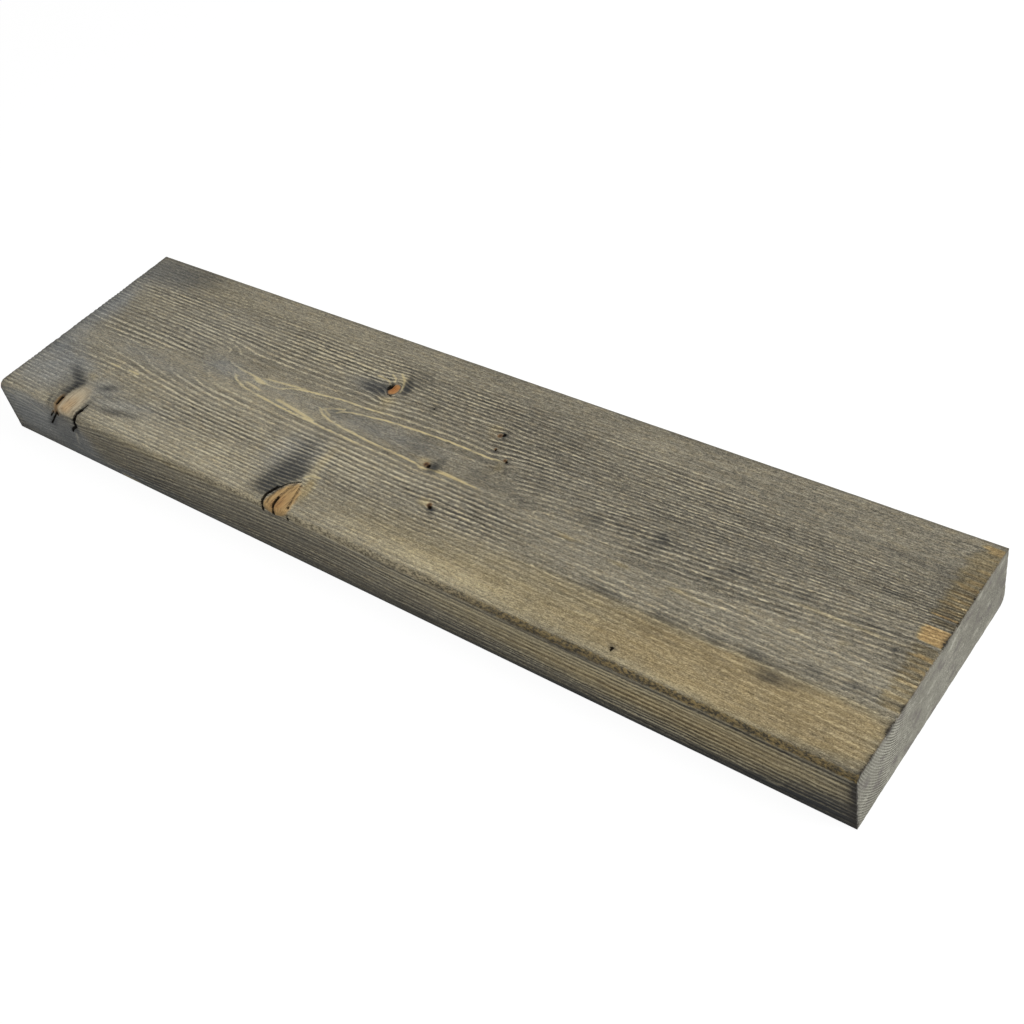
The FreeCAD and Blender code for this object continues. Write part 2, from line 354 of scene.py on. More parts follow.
# where the stain took lighter (or darker, below 0) over a wide stretch: its middle, half sizes and lift,
# in x and y on top, x and z on the front, y and z on the right end
liftSpots = [
    (-250, -185, 170, 46, 0.11), (-130, -192, 70, 18, 0.1), (-240, -112, 150, 26, 0.07),
    (-20, -190, 120, 18, 0.09), (90, -196, 90, 12, 0.06), (330, -70, 150, 60, -0.04),
    (150, -60, 170, 36, -0.03), (375, -182, 60, 26, -0.08), (392, -50, 50, 60, -0.1),
    (-250, -190, 46, 18, 0.1), (-150, -130, 110, 30, 0.07), (-110, -80, 90, 40, 0.05),
    (-30, -128, 60, 22, 0.07), (110, -190, 40, 14, 0.06), (300, -125, 90, 16, 0.05),
    (-395, -190, 60, 30, 0.04), (-330, -12, 90, 16, 0.03), (-130, -12, 200, 14, 0.04),
    (-290, -55, 110, 45, 0.06), (50, -50, 60, 28, -0.07), (250, -112, 60, 14, -0.06),
    (250, -162, 60, 14, -0.05), (50, -188, 60, 16, 0.05), (350, -138, 60, 14, 0.05), (-65, -148, 7, 17, 0.12),
    (-66, -161, 4, 5, 0.16), (-63, -66, 11, 3.4, 0.16), (-60, -75.5, 10, 2.6, 0.12), (-73, -39.5, 9, 5, 0.12),
    (6.5, -107.5, 5, 3.4, 0.18), (9, -114.5, 4, 2.4, 0.14), (35, -140.8, 5, 2.6, 0.16),
    (34, -57.5, 7, 3, 0.14), (38, -63.8, 4, 2.4, 0.12), (57, -79, 4, 2, 0.12),
]
frontLiftSpots = [
    (60, 18, 120, 8, 0.1), (250, 16, 60, 8, 0.09), (-350, -3, 46, 14, 0.07), (-250, 0, 45, 14, -0.05),
    (350, -6, 45, 8, 0.07), (150, 2, 60, 9, 0.05),
]
endLiftSpots = [
    (-83, 6, 15, 10, 0.11), (-80, -14, 18, 10, 0.06), (-50, 2, 15, 12, -0.05), (-16, 5, 16, 10, -0.06),
    (-184, -20, 16, 9, -0.07), (-152, 20, 18, 7, 0.07), (-117, 12, 15, 13, -0.05), (-40, -20, 30, 6, 0.03),
]
frontTonesAndShade = ((-25, -0.34), (-19, -0.16), (-13, -0.04), (0, 0), (14, 0.06), (25, 0.10))   # height, lift; the darkening towards the bottom edge is painted shade
honeyBars = [  # along the right end, where the stain wore off between the lines: y, half width, start, strength
    (-7.5, 3.4, 384, 0.72), (-14.5, 1.2, 388, 0.62), (-20, 2.6, 382, 0.56), (-26.5, 1.6, 386, 0.62),
    (-32, 1.4, 381, 0.6), (-37, 2, 384, 0.66), (-43, 2.2, 383, 0.68), (-49.5, 1.7, 380, 0.64),
    (-54.5, 1.4, 380, 0.68), (-59.5, 1.5, 379.5, 0.66), (-65, 1.6, 380.5, 0.62), (-70.6, 0.9, 378.5, 0.9),
    (-75.5, 2.4, 380, 0.5), (-86.8, 6.6, 381.6, 1), (-97, 1.2, 384, 0.54), (-104.5, 1.8, 383, 0.74),
    (-110.5, 1, 383, 0.62), (-115, 1.6, 384, 0.66), (-120, 1.1, 382, 0.58), (-126, 1.8, 383, 0.62),
    (-132, 1.4, 381, 0.56), (-138.5, 2.2, 382, 0.58), (-145.5, 2.4, 384, 0.54), (-40, 30, 379, 0.46),
    (-122, 26, 381, 0.4),
]


def patchCover(points, patches, low, high, onFront):
    clear = np.ones(len(points))
    x, y, z = points.T
    faceDepth = np.where(onFront, y - low[1], high[2] - z)
    reach = fadeFrom(faceDepth, 5)
    side = z if onFront else y
    for centreX, centreSide, halfLength, halfWidth, strength, *turn in patches:
        along, across = x - centreX, side - centreSide
        near = np.abs(along) < 2.2 * max(halfLength, halfWidth)
        along, across = along[near], across[near]
        c, s = math.cos(math.radians(sum(turn))), math.sin(math.radians(sum(turn)))
        span = ((along * c + across * s) / halfLength) ** 2 + ((across * c - along * s) / halfWidth) ** 2
        clear[near] *= 1 - strength * np.exp(-0.9 * span ** 1.3) * reach[near]
    return 1 - clear


def coverOf(points, topPatches, frontPatches, low, high):
    fromTop = patchCover(points, topPatches, low, high, False)
    return np.maximum(fromTop, patchCover(points, frontPatches, low, high, True))


def honeyBarCover(points, high):  # how warm, and how much darker beside the one block that is bare
    x, y, z = points.T
    ragged = 3.5 * noiseAt(points, (900, 2.2, 90), 81, 2)
    cover, shade = np.zeros(len(points)), np.zeros(len(points))
    for centre, halfWidth, start, strength in honeyBars:
        bar = 1 - smoothStep(halfWidth - 0.5, halfWidth + 0.7, np.abs(y - centre + 0.03 * (x - 390)))
        bare = strength > 0.99
        begun = smoothStep(0, 2 if bare else 6, x - start - ragged * (0.2 if bare else 1))
        cover = np.maximum(cover, strength * bar * begun)
        shade = np.maximum(shade, (not bare) * 0.13 * bar * begun)
    onTop = smoothStep(high[2] - 3, high[2] - 0.5, z)
    return cover * onTop, (shade + 0.06 * (cover > 0.95)) * onTop


def liftAt(points, low, high):  # on the long faces, and on the ends
    x, y, z = points.T
    onTop = smoothStep(high[2] - 5, high[2] - 1, z)
    top, onFace, onEnd = [
        sum(lift * np.exp(-((a - atA) / length) ** 2 - ((b - atB) / width) ** 2)
            for atA, atB, length, width, lift in spots)
        for a, b, spots in ((x, y, liftSpots), (x, z, frontLiftSpots), (y, z, endLiftSpots))
    ]
    # darker towards the front's bottom edge: painted shade
    front = np.interp(z, *zip(*frontTonesAndShade))
    front += 0.07 * smoothStep(60, 250, x) * smoothStep(-12, -2, z)
    front += onFace
    return top * onTop + front * (1 - onTop) * smoothStep(low[1] + 8, low[1] + 4, y), onEnd * (x > 0)


# the bark gaps and checks round the knots: points along each, and its half width
checks = [
    ((-327.4, -186.5), (-325.6, -193.5, 24.6), (-321.5, -199.5, 19), 1.6),
    ((-322, -199.5, 20), (-331, -200, 11), (-339, -200, 3), 0.9), ((-326, -199.5, 20), (-334, -200, 13), 0.7),
    ((-297.4, -184), (-297.2, -191, 24.9), 0.75), ((-297.6, -191, 24.9), (-298.6, -199.2, 22), 2.1),
    ((-299, -199.5, 22), (-300.5, -200, 13), 1.6),
    ((-301, -200, 12.5), (-306.5, -200, 9), (-309.5, -200, 5), 1.1),
    ((-64.4, -167.6), (-72.2, -173), (-77, -180.5), (-80, -189.5), 0.5),
    ((-77.4, -180.5), (-80.2, -189.5), (-78.6, -196.5, 24.2), (-75.6, -199.8, 19.5), 1.3),
    ((-68.6, -188.5), (-67, -196, 24.2), (-64.4, -199.8, 20), 1.3),
    ((-54, -193, 24.6), (-49.6, -199.8, 20.5), 1),
]
faintChecks = [  # closed ones, which only show as a brown line
    ((-66.8, -171), (-68, -181), (-69, -191, 24.8), 1.1),
    ((-62, -170), (-58.3, -181), (-54.2, -194, 24.8), 1),
    ((-328.2, -168), (-328.4, -180), (-327.2, -189, 24.8), 1.3),
    ((-74, -178), (-75.5, -187), (-73.5, -196, 24.6), 0.9),
]
# pale streaks, where the sanding went through to bare wood: points along each, and its half width
streaks = [
    ((-107, -97.4), (-100, -93.8), (-90, -90.6), 1.1), ((-107, -97.6), (-97, -101), 1.1),
    ((-152, -105.6), (-127, -108.6), (-106, -112), 1.5), ((-192, -100.6), (-172, -103.4), 1.1),
    ((-182, -91), (-160, -88.7), (-137, -86), 1), ((-322, -135.7), (-312, -135.9), 1.2),
    ((-299.5, -135.3), (-288, -135.5), 1.2), ((-65.5, -163), (-62, -159.4), (-54, -158.4), 1.1),
    ((-83.3, -40.6), (-77.8, -42.8), (-75.6, -46.7), 0.9),
    ((-76.7, -36.7), (-70, -41.1), (-65.6, -47.8), (-63.4, -54.4), 1),
    ((-94, -46.6), (-82.2, -47.2), (-78.4, -49.4), 0.9), ((22, -110.6), (40, -111.6), (54, -113.4), 0.9),
    ((-305.5, -200, 4), (-309.8, -200, -8), 1.5), ((-392, -200, 20), (-362, -200, 17.5), (-341, -200, 12), 1),
    ((-384, -200, 15.5), (-345, -200, 7.5), 0.8), ((-258, -200, -22.6), (-238, -200, -23.4), 1.2),
    ((-320, -200, -14), (-262, -200, -18), 0.7),
]
# small dark hollows in the knots: x, y, half length, half width, half depth
hollows = [
    (-74.8, -52.8, 2.3, 4, 3), (-69, -61.4, 3.5, 0.6, 2), (12.6, -110.6, 1.6, 2, 2),
    (41.2, -143.8, 1.8, 1.6, 2), (43, -58.4, 1.3, 2.2, 2), (62.4, -81.2, 1.2, 1.3, 2),
    (47.2, -74.2, 0.9, 1.2, 2), (-26, -51, 0.7, 2.2, 2), (-25.2, -58.4, 0.7, 1.5, 2),
    (249.5, -110, 0.6, 1.9, 2), (377, -107.6, 0.7, 1.4, 2), (227.5, -187, 2.4, 0.6, 2),
    (228, -189, 0.7, 1.6, 2),
]
faintest = 1.09   # how near its middle a closed check is ever seen, 1 being its edge
finestPit = 0.8   # a hollow narrower than this has no depth


def streakCover(points):  # 1 in the middle of a streak, 0 beside it
    nearest = np.min([fromPath(points, streak) for streak in streaks], axis=0)
    patchy = 0.85 + 0.4 * noiseAt(points, (6, 3, 3), 91, 2)
    return (1 - smoothStep(0.3, 1.5, nearest)) * np.clip(patchy, 0.3, 1)


def gapsAt(points):  # 0 in the middle of a gap or hollow and 1 at its edge, and how deep it is there
    spans = [(fromPath(points, check), check[-1]) for check in checks]
    for x, y, halfLength, halfWidth, halfDepth in hollows:
        halves = (halfLength, halfWidth, halfDepth)
        span = np.linalg.norm((points - np.array([x, y, topLevel])) / np.array(halves), axis=1)
        spans.append((span, min(halves) * (min(halves) > finestPit)))
    closed = [np.maximum(fromPath(points, check), faintest) for check in faintChecks]
    nearest = np.min([span for span, deep in spans] + closed, axis=0)
    return nearest, np.max([deep * (1 - smoothStep(0.3, 1.2, span)) for span, deep in spans], axis=0)


# ---- the board: a dense mesh with its rings, torn edge and knots standing in relief
boardShape = {
    # the eased long edges, in the order in which the section is walked round
    "radii": (6, 1, 7, 1.5),   # top front, bottom front, bottom back, top back
    "rows": (0.86, 1, 2, 2.2),   # the faces' row heights: top, front, underside, back
    "cornerRow": 0.8,
    "column": 5.2, "endColumn": 0.6, "columnGrowth": 0.12,
    # finer columns at the knots: x, half width and column there
    "closeUps": [(-318, 22, 0.65), (-68, 17, 0.65), (13, 6, 1), (50, 15, 1)],
    "endGrid": 2,
    "ringRelief": 0.30, "fibreRelief": 0.06, "edgeTear": 0.55, "endNotch": 1.7, "gapDepth": 0.9, "sawMarks": 0.14,
    "knotRim": 0.35, "knotRise": 0.12,
    "recessWidth": 85.6, "recessHeight": 33.6, "recessCorner": 6.8, "recessDepth": 4.6, "recessBends": 6,
    "boreRadius": 7.25, "boreDepth": 153, "boreSides": 40, "drillPoint": 118,
    "slit": 0.05,
    "sharpAngle": 50,
}
sideFacings = ((0, 1), (-1, 0), (0, -1), (1, 0))   # top, front, underside, back


def boardLimits():
    low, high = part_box("board")
    return np.array(low) / mm, np.array(high) / mm


def sectionRows(low, high):
    # walks round the board's section from the top's back edge: its points, and the travel at each bend's ends
    topFront, bottomFront, bottomBack, topBack = radii = boardShape["radii"]
    spans = [
        (high[1] - topBack, low[1] + topFront), (high[2] - topFront, low[2] + bottomFront),
        (low[1] + bottomFront, high[1] - bottomBack), (low[2] + bottomBack, high[2] - topBack),
    ]
    places, marks, done = [], [], 0
    for side, (normal, (start, end), step) in enumerate(zip(sideFacings, spans, boardShape["rows"])):
        count = max(2, round(abs(end - start) / step))
        fixed = (low[1] if normal[0] < 0 else high[1]) if normal[0] else (low[2] if normal[1] < 0 else high[2])
        marks.append(done)
        for k in range(count):
            along = start + (end - start) * k / count
            places.append((fixed, along) if normal[0] else (along, fixed))
        done += abs(end - start)
        corner, after = radii[side], sideFacings[(side + 1) % 4]
        last = (fixed, end) if normal[0] else (end, fixed)
        hub = (last[0] - corner * normal[0], last[1] - corner * normal[1])
        bends = max(3, round(corner * math.pi / 2 / boardShape["cornerRow"]))
        marks.append(done)
        for k in range(bends):
            angle = math.pi / 2 * k / bends
            facing = tuple(math.cos(angle) * a + math.sin(angle) * b for a, b in zip(normal, after))
            places.append((hub[0] + corner * facing[0], hub[1] + corner * facing[1]))
        done += corner * math.pi / 2
    marks.append(done)
    return np.array(places), marks


def columnPlaces(low, high):  # closer together towards the ends and at the knots
    shape = boardShape
    places = [low[0]]
    while places[-1] < high[0]:
        x = places[-1]
        toEnd = max(0, min(x - low[0], high[0] - x))
        steps = [shape["column"], shape["endColumn"] + shape["columnGrowth"] * toEnd]
        for centre, halfWidth, column in shape["closeUps"]:
            away = max(0, abs(x - centre) - halfWidth)
            steps.append(column + shape["columnGrowth"] * away)
        places.append(x + min(steps))
    places = np.array(places)
    return low[0] + (places - low[0]) * (high[0] - low[0]) / (places[-1] - low[0])


def capTriangles(section, step):
    # triangles that fill the section, with a grid of points inside it
    low, high = section.min(0), section.max(0)
    inside = [
        (y, z)
        for y in np.arange(low[0] + step, high[0] - step / 2, step)
        for z in np.arange(low[1] + step, high[1] - step / 2, step)
        if min(y - low[0], high[0] - y) + min(z - low[1], high[1] - z) > 3.5 * step
    ]
    rim = len(section)
    points = [Vector(p) for p in section] + [Vector(p) for p in inside]
    loop = [(k, (k + 1) % rim) for k in range(rim)]
    filled = delaunay_2d_cdt(points, loop, [], 1, 1e-4)
    names = [original[0] for original in filled[3]]
    return np.array(inside), [tuple(names[k] for k in face) for face in filled[2]]


def rawBoard(low, high):
    section, marks = sectionRows(low, high)
    columns = columnPlaces(low, high)
    rows, count = len(section), len(columns)
    shell = np.empty((count, rows, 3))
    shell[:, :, 0] = columns[:, None]
    shell[:, :, 1:] = section[None]
    points = [shell.reshape(-1, 3)]
    faces = []
    for i in range(count - 1):
        for k in range(rows):
            n = (k + 1) % rows
            faces.append((i * rows + k, i * rows + n, (i + 1) * rows + n, (i + 1) * rows + k))
    inside, triangles = capTriangles(section, boardShape["endGrid"])
    made = count * rows
    for end, first in ((low[0], 0), (high[0], (count - 1) * rows)):
        points.append(np.column_stack([np.full(len(inside), end), inside]))
        for face in triangles:
            corners = [first + k if k < rows else made + k - rows for k in face]
            faces.append(tuple(corners if end == high[0] else reversed(corners)))
        made += len(inside)
    return np.vstack(points), faces, marks


def meshFrom(name, points, faces):
    mesh = bpy.data.meshes.new(name)
    mesh.from_pydata((np.asarray(points) * mm).tolist(), [], faces)
    mesh.validate()
    mesh.update()
    return mesh


def addPrism(points, faces, loops):
    first, sides = len(points), len(loops[0])
    for loop in loops:
        points.extend(loop)
    for level in range(len(loops) - 1):
        for k in range(sides):
            a, b = first + level * sides + k, first + level * sides + (k + 1) % sides
            faces.append((a + sides, b + sides, b, a))
    faces.append(tuple(first + k for k in range(sides)))
    faces.append(tuple(first + (len(loops) - 1) * sides + k for k in reversed(range(sides))))


def pocketTools(back, centres):
    # the spaces that are cut out of the back edge: a recess for each plate, a bore for each pin
    shape = boardShape
    rounding, bends = shape["recessCorner"], shape["recessBends"]
    boreRadius, boreDepth = shape["boreRadius"], shape["boreDepth"]
    coneDepth = boreRadius / math.tan(math.radians(shape["drillPoint"] / 2))
    turns = [2 * math.pi * k / shape["boreSides"] for k in range(shape["boreSides"])]
    recess, bore, recessFaces, boreFaces = [], [], [], []
    for centre in centres:
        outline = []
        for turn, (sideX, sideZ) in enumerate(((1, 1), (1, -1), (-1, -1), (-1, 1))):
            hubX = centre + sideX * (shape["recessWidth"] / 2 - rounding)
            hubZ = sideZ * (shape["recessHeight"] / 2 - rounding)
            for k in range(bends + 1):
                angle = math.pi / 2 - (turn + k / bends) * math.pi / 2
                outline.append((hubX + rounding * math.cos(angle), hubZ + rounding * math.sin(angle)))
        addPrism(recess, recessFaces, [[(x, back + y, z) for x, z in outline] for y in (1, -shape["recessDepth"])])
        addPrism(bore, boreFaces, [
            [(centre + radius * math.cos(a), back + y, -radius * math.sin(a)) for a in turns]
            for y, radius in ((-3, boreRadius), (-boreDepth, boreRadius), (-boreDepth - coneDepth, 0.02))
        ])
    return (recess, recessFaces), (bore, boreFaces)


def cutPockets(mesh, back, centres, rawWood):
    board = bpy.data.objects.new("boardBlank", mesh)
    bpy.context.collection.objects.link(board)
    for points, faces in pocketTools(back, centres):
        toolMesh = meshFrom("pocketTool", points, faces)
        toolMesh.materials.append(rawWood)
        tool = bpy.data.objects.new("pocketTool", toolMesh)
        bpy.context.collection.objects.link(tool)
        cut = board.modifiers.new("pocket", "BOOLEAN")
        cut.operation, cut.solver, cut.object, cut.material_mode = "DIFFERENCE", "EXACT", tool, "TRANSFER"
        done = bpy.data.meshes.new_from_object(board.evaluated_get(bpy.context.evaluated_depsgraph_get()))
        board.modifiers.remove(cut)
        board.data = done
        bpy.data.objects.remove(tool)
    result = board.data
    bpy.data.objects.remove(board)
    # close the hair-thin slits that the cut leaves where an arc meets a column
    tidy = bmesh.new()
    tidy.from_mesh(result)
    rim = [point for point in tidy.verts if any(not edge.is_manifold for edge in point.link_edges)]
    bmesh.ops.remove_doubles(tidy, verts=rim, dist=boardShape["slit"] * mm)
    tidy.to_mesh(result)
    tidy.free()
    return result


def sectionTravel(y, z, low, high, marks):
    # how far round the section a point lies, and its outward direction there
    topFront, bottomFront, bottomBack, topBack = radii = boardShape["radii"]
    side = np.stack([high[2] - z, y - low[1], z - low[2], high[1] - y]).argmin(0)
    starts = [high[1] - topBack - y, high[2] - topFront - z, y - low[1] - bottomFront, z - low[2] - bottomBack]
    travel = np.choose(side, [marks[2 * k] + start for k, start in enumerate(starts)])
    facings = np.array(sideFacings)[side]
    for k, radius in enumerate(radii):
        hubY = low[1] + radius if k < 2 else high[1] - radius
        hubZ = high[2] - radius if k in (0, 3) else low[2] + radius
        before, after = sideFacings[k], sideFacings[(k + 1) % 4]
        along = (y - hubY) * before[0] + (z - hubZ) * before[1]
        beyond = (y - hubY) * after[0] + (z - hubZ) * after[1]
        inCorner = (along > -1e-4) & (beyond > -1e-4)
        angle = np.arctan2(np.maximum(beyond, 0), np.maximum(along, 0))
        travel = np.where(inCorner, marks[2 * k + 1] + radius * angle, travel)
        rounded = np.outer(np.cos(angle), before) + np.outer(np.sin(angle), after)
        facings = np.where(inCorner[:, None], rounded, facings)
    return travel, facings


def ridgeShape(rings):  # 1 on the hard late wood, 0 in the soft early wood
    return 0.5 + 0.5 * np.cos(2 * math.pi * rings)


def calmAt(points, high):  # 1 where the rings show strongly, less in the smooth strips
    x, y, z = points.T
    backEdge = -24 - 22 * smoothStep(40, 400, x) + 3 * noiseAt(points, (60, 40, 40), 51)
    calm = 0.22 + 0.78 * (1 - smoothStep(-7, 9, y - backEdge))
    calm *= 1 - 0.60 * smoothStep(70, 150, x) * bell(y, -136, 15)
    calm *= 1 - 0.10 * smoothStep(-140, -60, x) - 0.11 * smoothStep(70, 150, x)
    for centreX, centreY, halfLength, halfWidth, drop in smoothSpots:
        span = ((x - centreX) / halfLength) ** 2 + ((y - centreY) / halfWidth) ** 2
        calm *= 1 - drop * np.exp(-0.9 * span ** 1.3)
    onTop = smoothStep(high[2] - 4, high[2] - 1, z)
    front = 1.05 * (1 - 0.40 * smoothStep(-120, -300, x)) * (1 - smoothStep(-16, -25, z) * 0.5)
    front *= 1 - 0.95 * np.exp(-(((x + 320 + 0.35 * z) / 19) ** 4))
    front *= 1 + 0.35 * smoothStep(100, 250, x) + 0.5 * noiseAt(points, (60, 9, 8), 59, 2)
    patchy = 0.85 + 0.30 * noiseAt(points, (70, 22, 30), 57, 2)
    return (calm * onTop + front * (1 - onTop)) * np.clip(patchy, 0.3, 1.2)


def reliefAt(points, rings, calm, gapDepth, low, high, travel, marks):
    # how far the surface lies under the planed one
    shape = boardShape
    y, z = points.T[1:]
    onTop = smoothStep(high[2] - 3, high[2] - 0.5, z)
    depth = shape["ringRelief"] * (1 - ridgeShape(rings)) * calm * (0.55 + 0.45 * onTop)
    depth += shape["fibreRelief"] * noiseAt(points, (9, 1.7, 1.7), 31, 2)
    depth *= 1 - 0.8 * np.exp(-(z - low[2]) / 2) * smoothStep(low[1] + 4, low[1] + 1, y)
    torn = 0.35 + 0.65 * np.maximum(0, noiseAt(points, (4.5, 1.6, 1.6), 41, 2))
    depth += shape["edgeTear"] * bell(travel - marks[1], 4.5, 3.2) * torn
    for knot in knots[:innerKnots]:
        span = knotSpan(points, knot)
        depth += shape["knotRim"] * bell(span, 1.02, 0.12) - shape["knotRise"] * (span < 0.9)
    return np.maximum(depth, 0) + shape["gapDepth"] * gapDepth


def tearEnds(points, moved, rings, low, high):
    # the saw tore the soft wood out of the top edge at the right end, and a little at the left
    x, y, z = points.T
    outward = np.sign(x)
    tear = np.clip(0.55 + 0.8 * noiseAt(points, (400, 9, 50), 61, 2), 0, 1.2)
    tear *= smoothStep(-178, -150, y) * (1 - smoothStep(-14, -4, y))
    nearEnd = fadeFrom(high[0] - x, 0.9) + 0.25 * fadeFrom(x - low[0], 0.8)
    notch = boardShape["endNotch"] * (1 - ridgeShape(rings)) * tear * nearEnd * fadeFrom(high[2] - z, 1.1)
    moved[:, 2] -= 0.8 * notch
    moved[:, 0] -= 0.7 * notch * outward * (np.abs(x) > high[0] - 4)
    ends = np.abs(np.abs(x) - high[0]) < 1e-3
    sawn = boardShape["sawMarks"] * noiseAt(points, (50, 3, 1.3), 71, 2) * ends
    moved[:, 0] -= outward * np.maximum(sawn + 0.05, 0) * ends


def paintedArrisShade(points, streak, low, high):
    # painted shade along the arrises: the top's right end, its back edge, and the front's right corner
    x, y, z = points.T
    torn = np.clip(0.45 + 1.5 * noiseAt(points, (400, 6, 50), 67, 2), 0, 1.5)
    torn *= 0.35 + 0.65 * smoothStep(-28, -48, y)
    arrisShade = fadeFrom(high[0] - x, 1.5) * fadeFrom(high[2] - z, 2.6) * torn
    arrisShade += 0.8 * fadeFrom(high[1] - y, 1.3) * fadeFrom(high[2] - z, 3)
    upright = fadeFrom(high[0] - x, 4.2) * fadeFrom(y - low[1], 1)
    arrisShade += upright * np.clip(1.3 + 1.2 * noiseAt(points, (90, 90, 3), 77, 2), 0.4, 2)
    arrisShade += 0.6 * fadeFrom(x - low[0], 1.4)
    return arrisShade - streak


def makeBoard(stainedWood, rawWood):
    low, high = boardLimits()
    supports = [np.mean([end[0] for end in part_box(side + "_wall_plate")]) / mm for side in ("left", "right")]
    points, faces, marks = rawBoard(low, high)
    mesh = meshFrom("board", points, faces)
    mesh.materials.append(stainedWood)
    mesh = cutPockets(mesh, high[1], supports, rawWood)
    points = readAll(mesh.vertices, "co", 3) / mm
    owner = readAll(mesh.loops, "vertex_index", kind=np.int64)
    sizes = readAll(mesh.polygons, "loop_total", kind=np.int64)
    slot = readAll(mesh.polygons, "material_index", kind=np.int64)
    faceOf = np.repeat(np.arange(len(sizes)), sizes)
    endFace = (np.abs(readAll(mesh.polygons, "normal", 3)[:, 0]) > 0.9) & (slot == 0)
    onEnd, inPocket = endFace[faceOf], (slot == 1)[faceOf]

    travel, outward = sectionTravel(points[:, 1], points[:, 2], low, high, marks)
    rings, endRings = [ringCount(points, low, high, end) for end in (False, True)]
    density, endDensity = [ringDensity(points, low, high, end, outward) for end in (False, True)]
    calm, streak = calmAt(points, high), streakCover(points)
    nearGap, gapDepth = gapsAt(points)
    onShell = np.zeros(len(points), dtype=bool)
    onShell[owner[~onEnd & ~inPocket]] = True
    depth = reliefAt(points, rings, calm, gapDepth, low, high, travel, marks) * onShell
    moved = points.copy()
    moved[:, 1:] -= outward * depth[:, None]
    tearEnds(points, moved, rings, low, high)
    mesh.vertices.foreach_set("co", (moved * mm).ravel())

    # dark stain, with painted shade along the front's bottom edge and right corner
    stainAndShade = coverOf(points, darkPatches, frontDarkAndShadePatches, low, high)
    bars, shade = honeyBarCover(points, high)
    warm = np.maximum(np.minimum(coverOf(points, warmPatches, frontWarmPatches, low, high), 0.62), bars)
    # grey weathering on top; on the front, a painted reflection
    greyAndReflection = coverOf(points, greyPatches, frontReflectionPatches, low, high)
    # the band along the top front rounding: wear, and on the left a painted highlight
    wearAndHighlight = bell(travel - marks[1], 4.9, 3)[owner] * (~onEnd)
    # painted shade along the arrises, below 0 where a pale streak runs
    arrisShade = paintedArrisShade(points, streak, low, high)
    spans = [np.minimum(knotSpan(points, knot), 9) for knot in knots]
    lift, endLift = liftAt(points, low, high)
    lift = lift + 0.20 * streak - shade
    for name, values in (  # three numbers for each corner, which the stained wood reads
        ("grain", (np.where(onEnd, endRings[owner], rings[owner]),
                   np.where(onEnd, endDensity[owner], density[owner]), calm[owner])),
        ("cover", (stainAndShade[owner], warm[owner], greyAndReflection[owner])),
        ("edge", (onEnd, wearAndHighlight, arrisShade[owner])),
        ("bigKnots", [span[owner] for span in spans[:innerKnots]]),
        ("smallKnots", (np.min(spans[innerKnots:], axis=0)[owner], nearGap[owner],
                        np.where(onEnd, endLift[owner], lift[owner]))),
    ):
        field = mesh.attributes.new(name, "FLOAT_VECTOR", "CORNER")
        field.data.foreach_set("vector", np.column_stack(values).astype(np.float32).ravel())
    layUv(mesh, points[owner], travel[owner], faceOf, onEnd, inPocket, low, high, marks)
    mesh.shade_smooth()
    mesh.set_sharp_from_angle(angle=math.radians(boardShape["sharpAngle"]))
    board = bpy.data.objects.new("shelfBoard", mesh)
    bpy.context.collection.objects.link(board)
    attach(board, "board")
    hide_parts("board")
    print("board:", len(points), "points,", len(sizes), "faces")


# ---- the board's map, unrolled with the faces that show most given the most room
mapRoom = {
    "gutter": 0.006,
    "rows": (0.44, 0.12, 0.24, 0.06),   # shares of the map's height: top, front, underside, back
    "turns": (3, 0.8, 5),           # where one strip ends, before the end of the round between two faces
    "ends": 0.085,
    "pockets": 0.02,
}


def layUv(mesh, corner, travel, faceOf, onEnd, inPocket, low, high, marks):
    gap = mapRoom["gutter"]
    middle = np.zeros(faceOf.max() + 1)
    np.add.at(middle, faceOf, travel)
    middle = (middle / np.bincount(faceOf))[faceOf]
    travel = np.where((middle > marks[8] * 0.5) & (travel < marks[8] * 0.25), travel + marks[8], travel)
    stops = [marks[0], *(marks[2 * k + 2] - turn for k, turn in enumerate(mapRoom["turns"])), marks[8]]
    heights = np.cumsum([gap, *mapRoom["rows"]])
    x, y, z = corner.T
    along, across, up = ((corner - low) / (high - low)).T
    base = heights[-1] + 2 * gap
    pocketBase = base + mapRoom["ends"] + 2 * gap
    u = gap + (1 - 2 * gap) * (x - low[0]) / (high[0] - low[0])
    u = np.where(onEnd, np.where(x > 0, 0.5 + gap, gap) + (0.5 - 2 * gap) * across, u)
    v = np.where(onEnd, base + mapRoom["ends"] * up, np.interp(travel, stops, heights))
    u = np.where(inPocket, gap + along * 0.9 + y * 0.0004, u)
    v = np.where(inPocket, pocketBase + mapRoom["pockets"] * (z + 17) / 34, v)
    layer = mesh.uv_layers.new(name="OFBake")
    layer.data.foreach_set("uv", np.column_stack([u, v]).astype(np.float32).ravel())


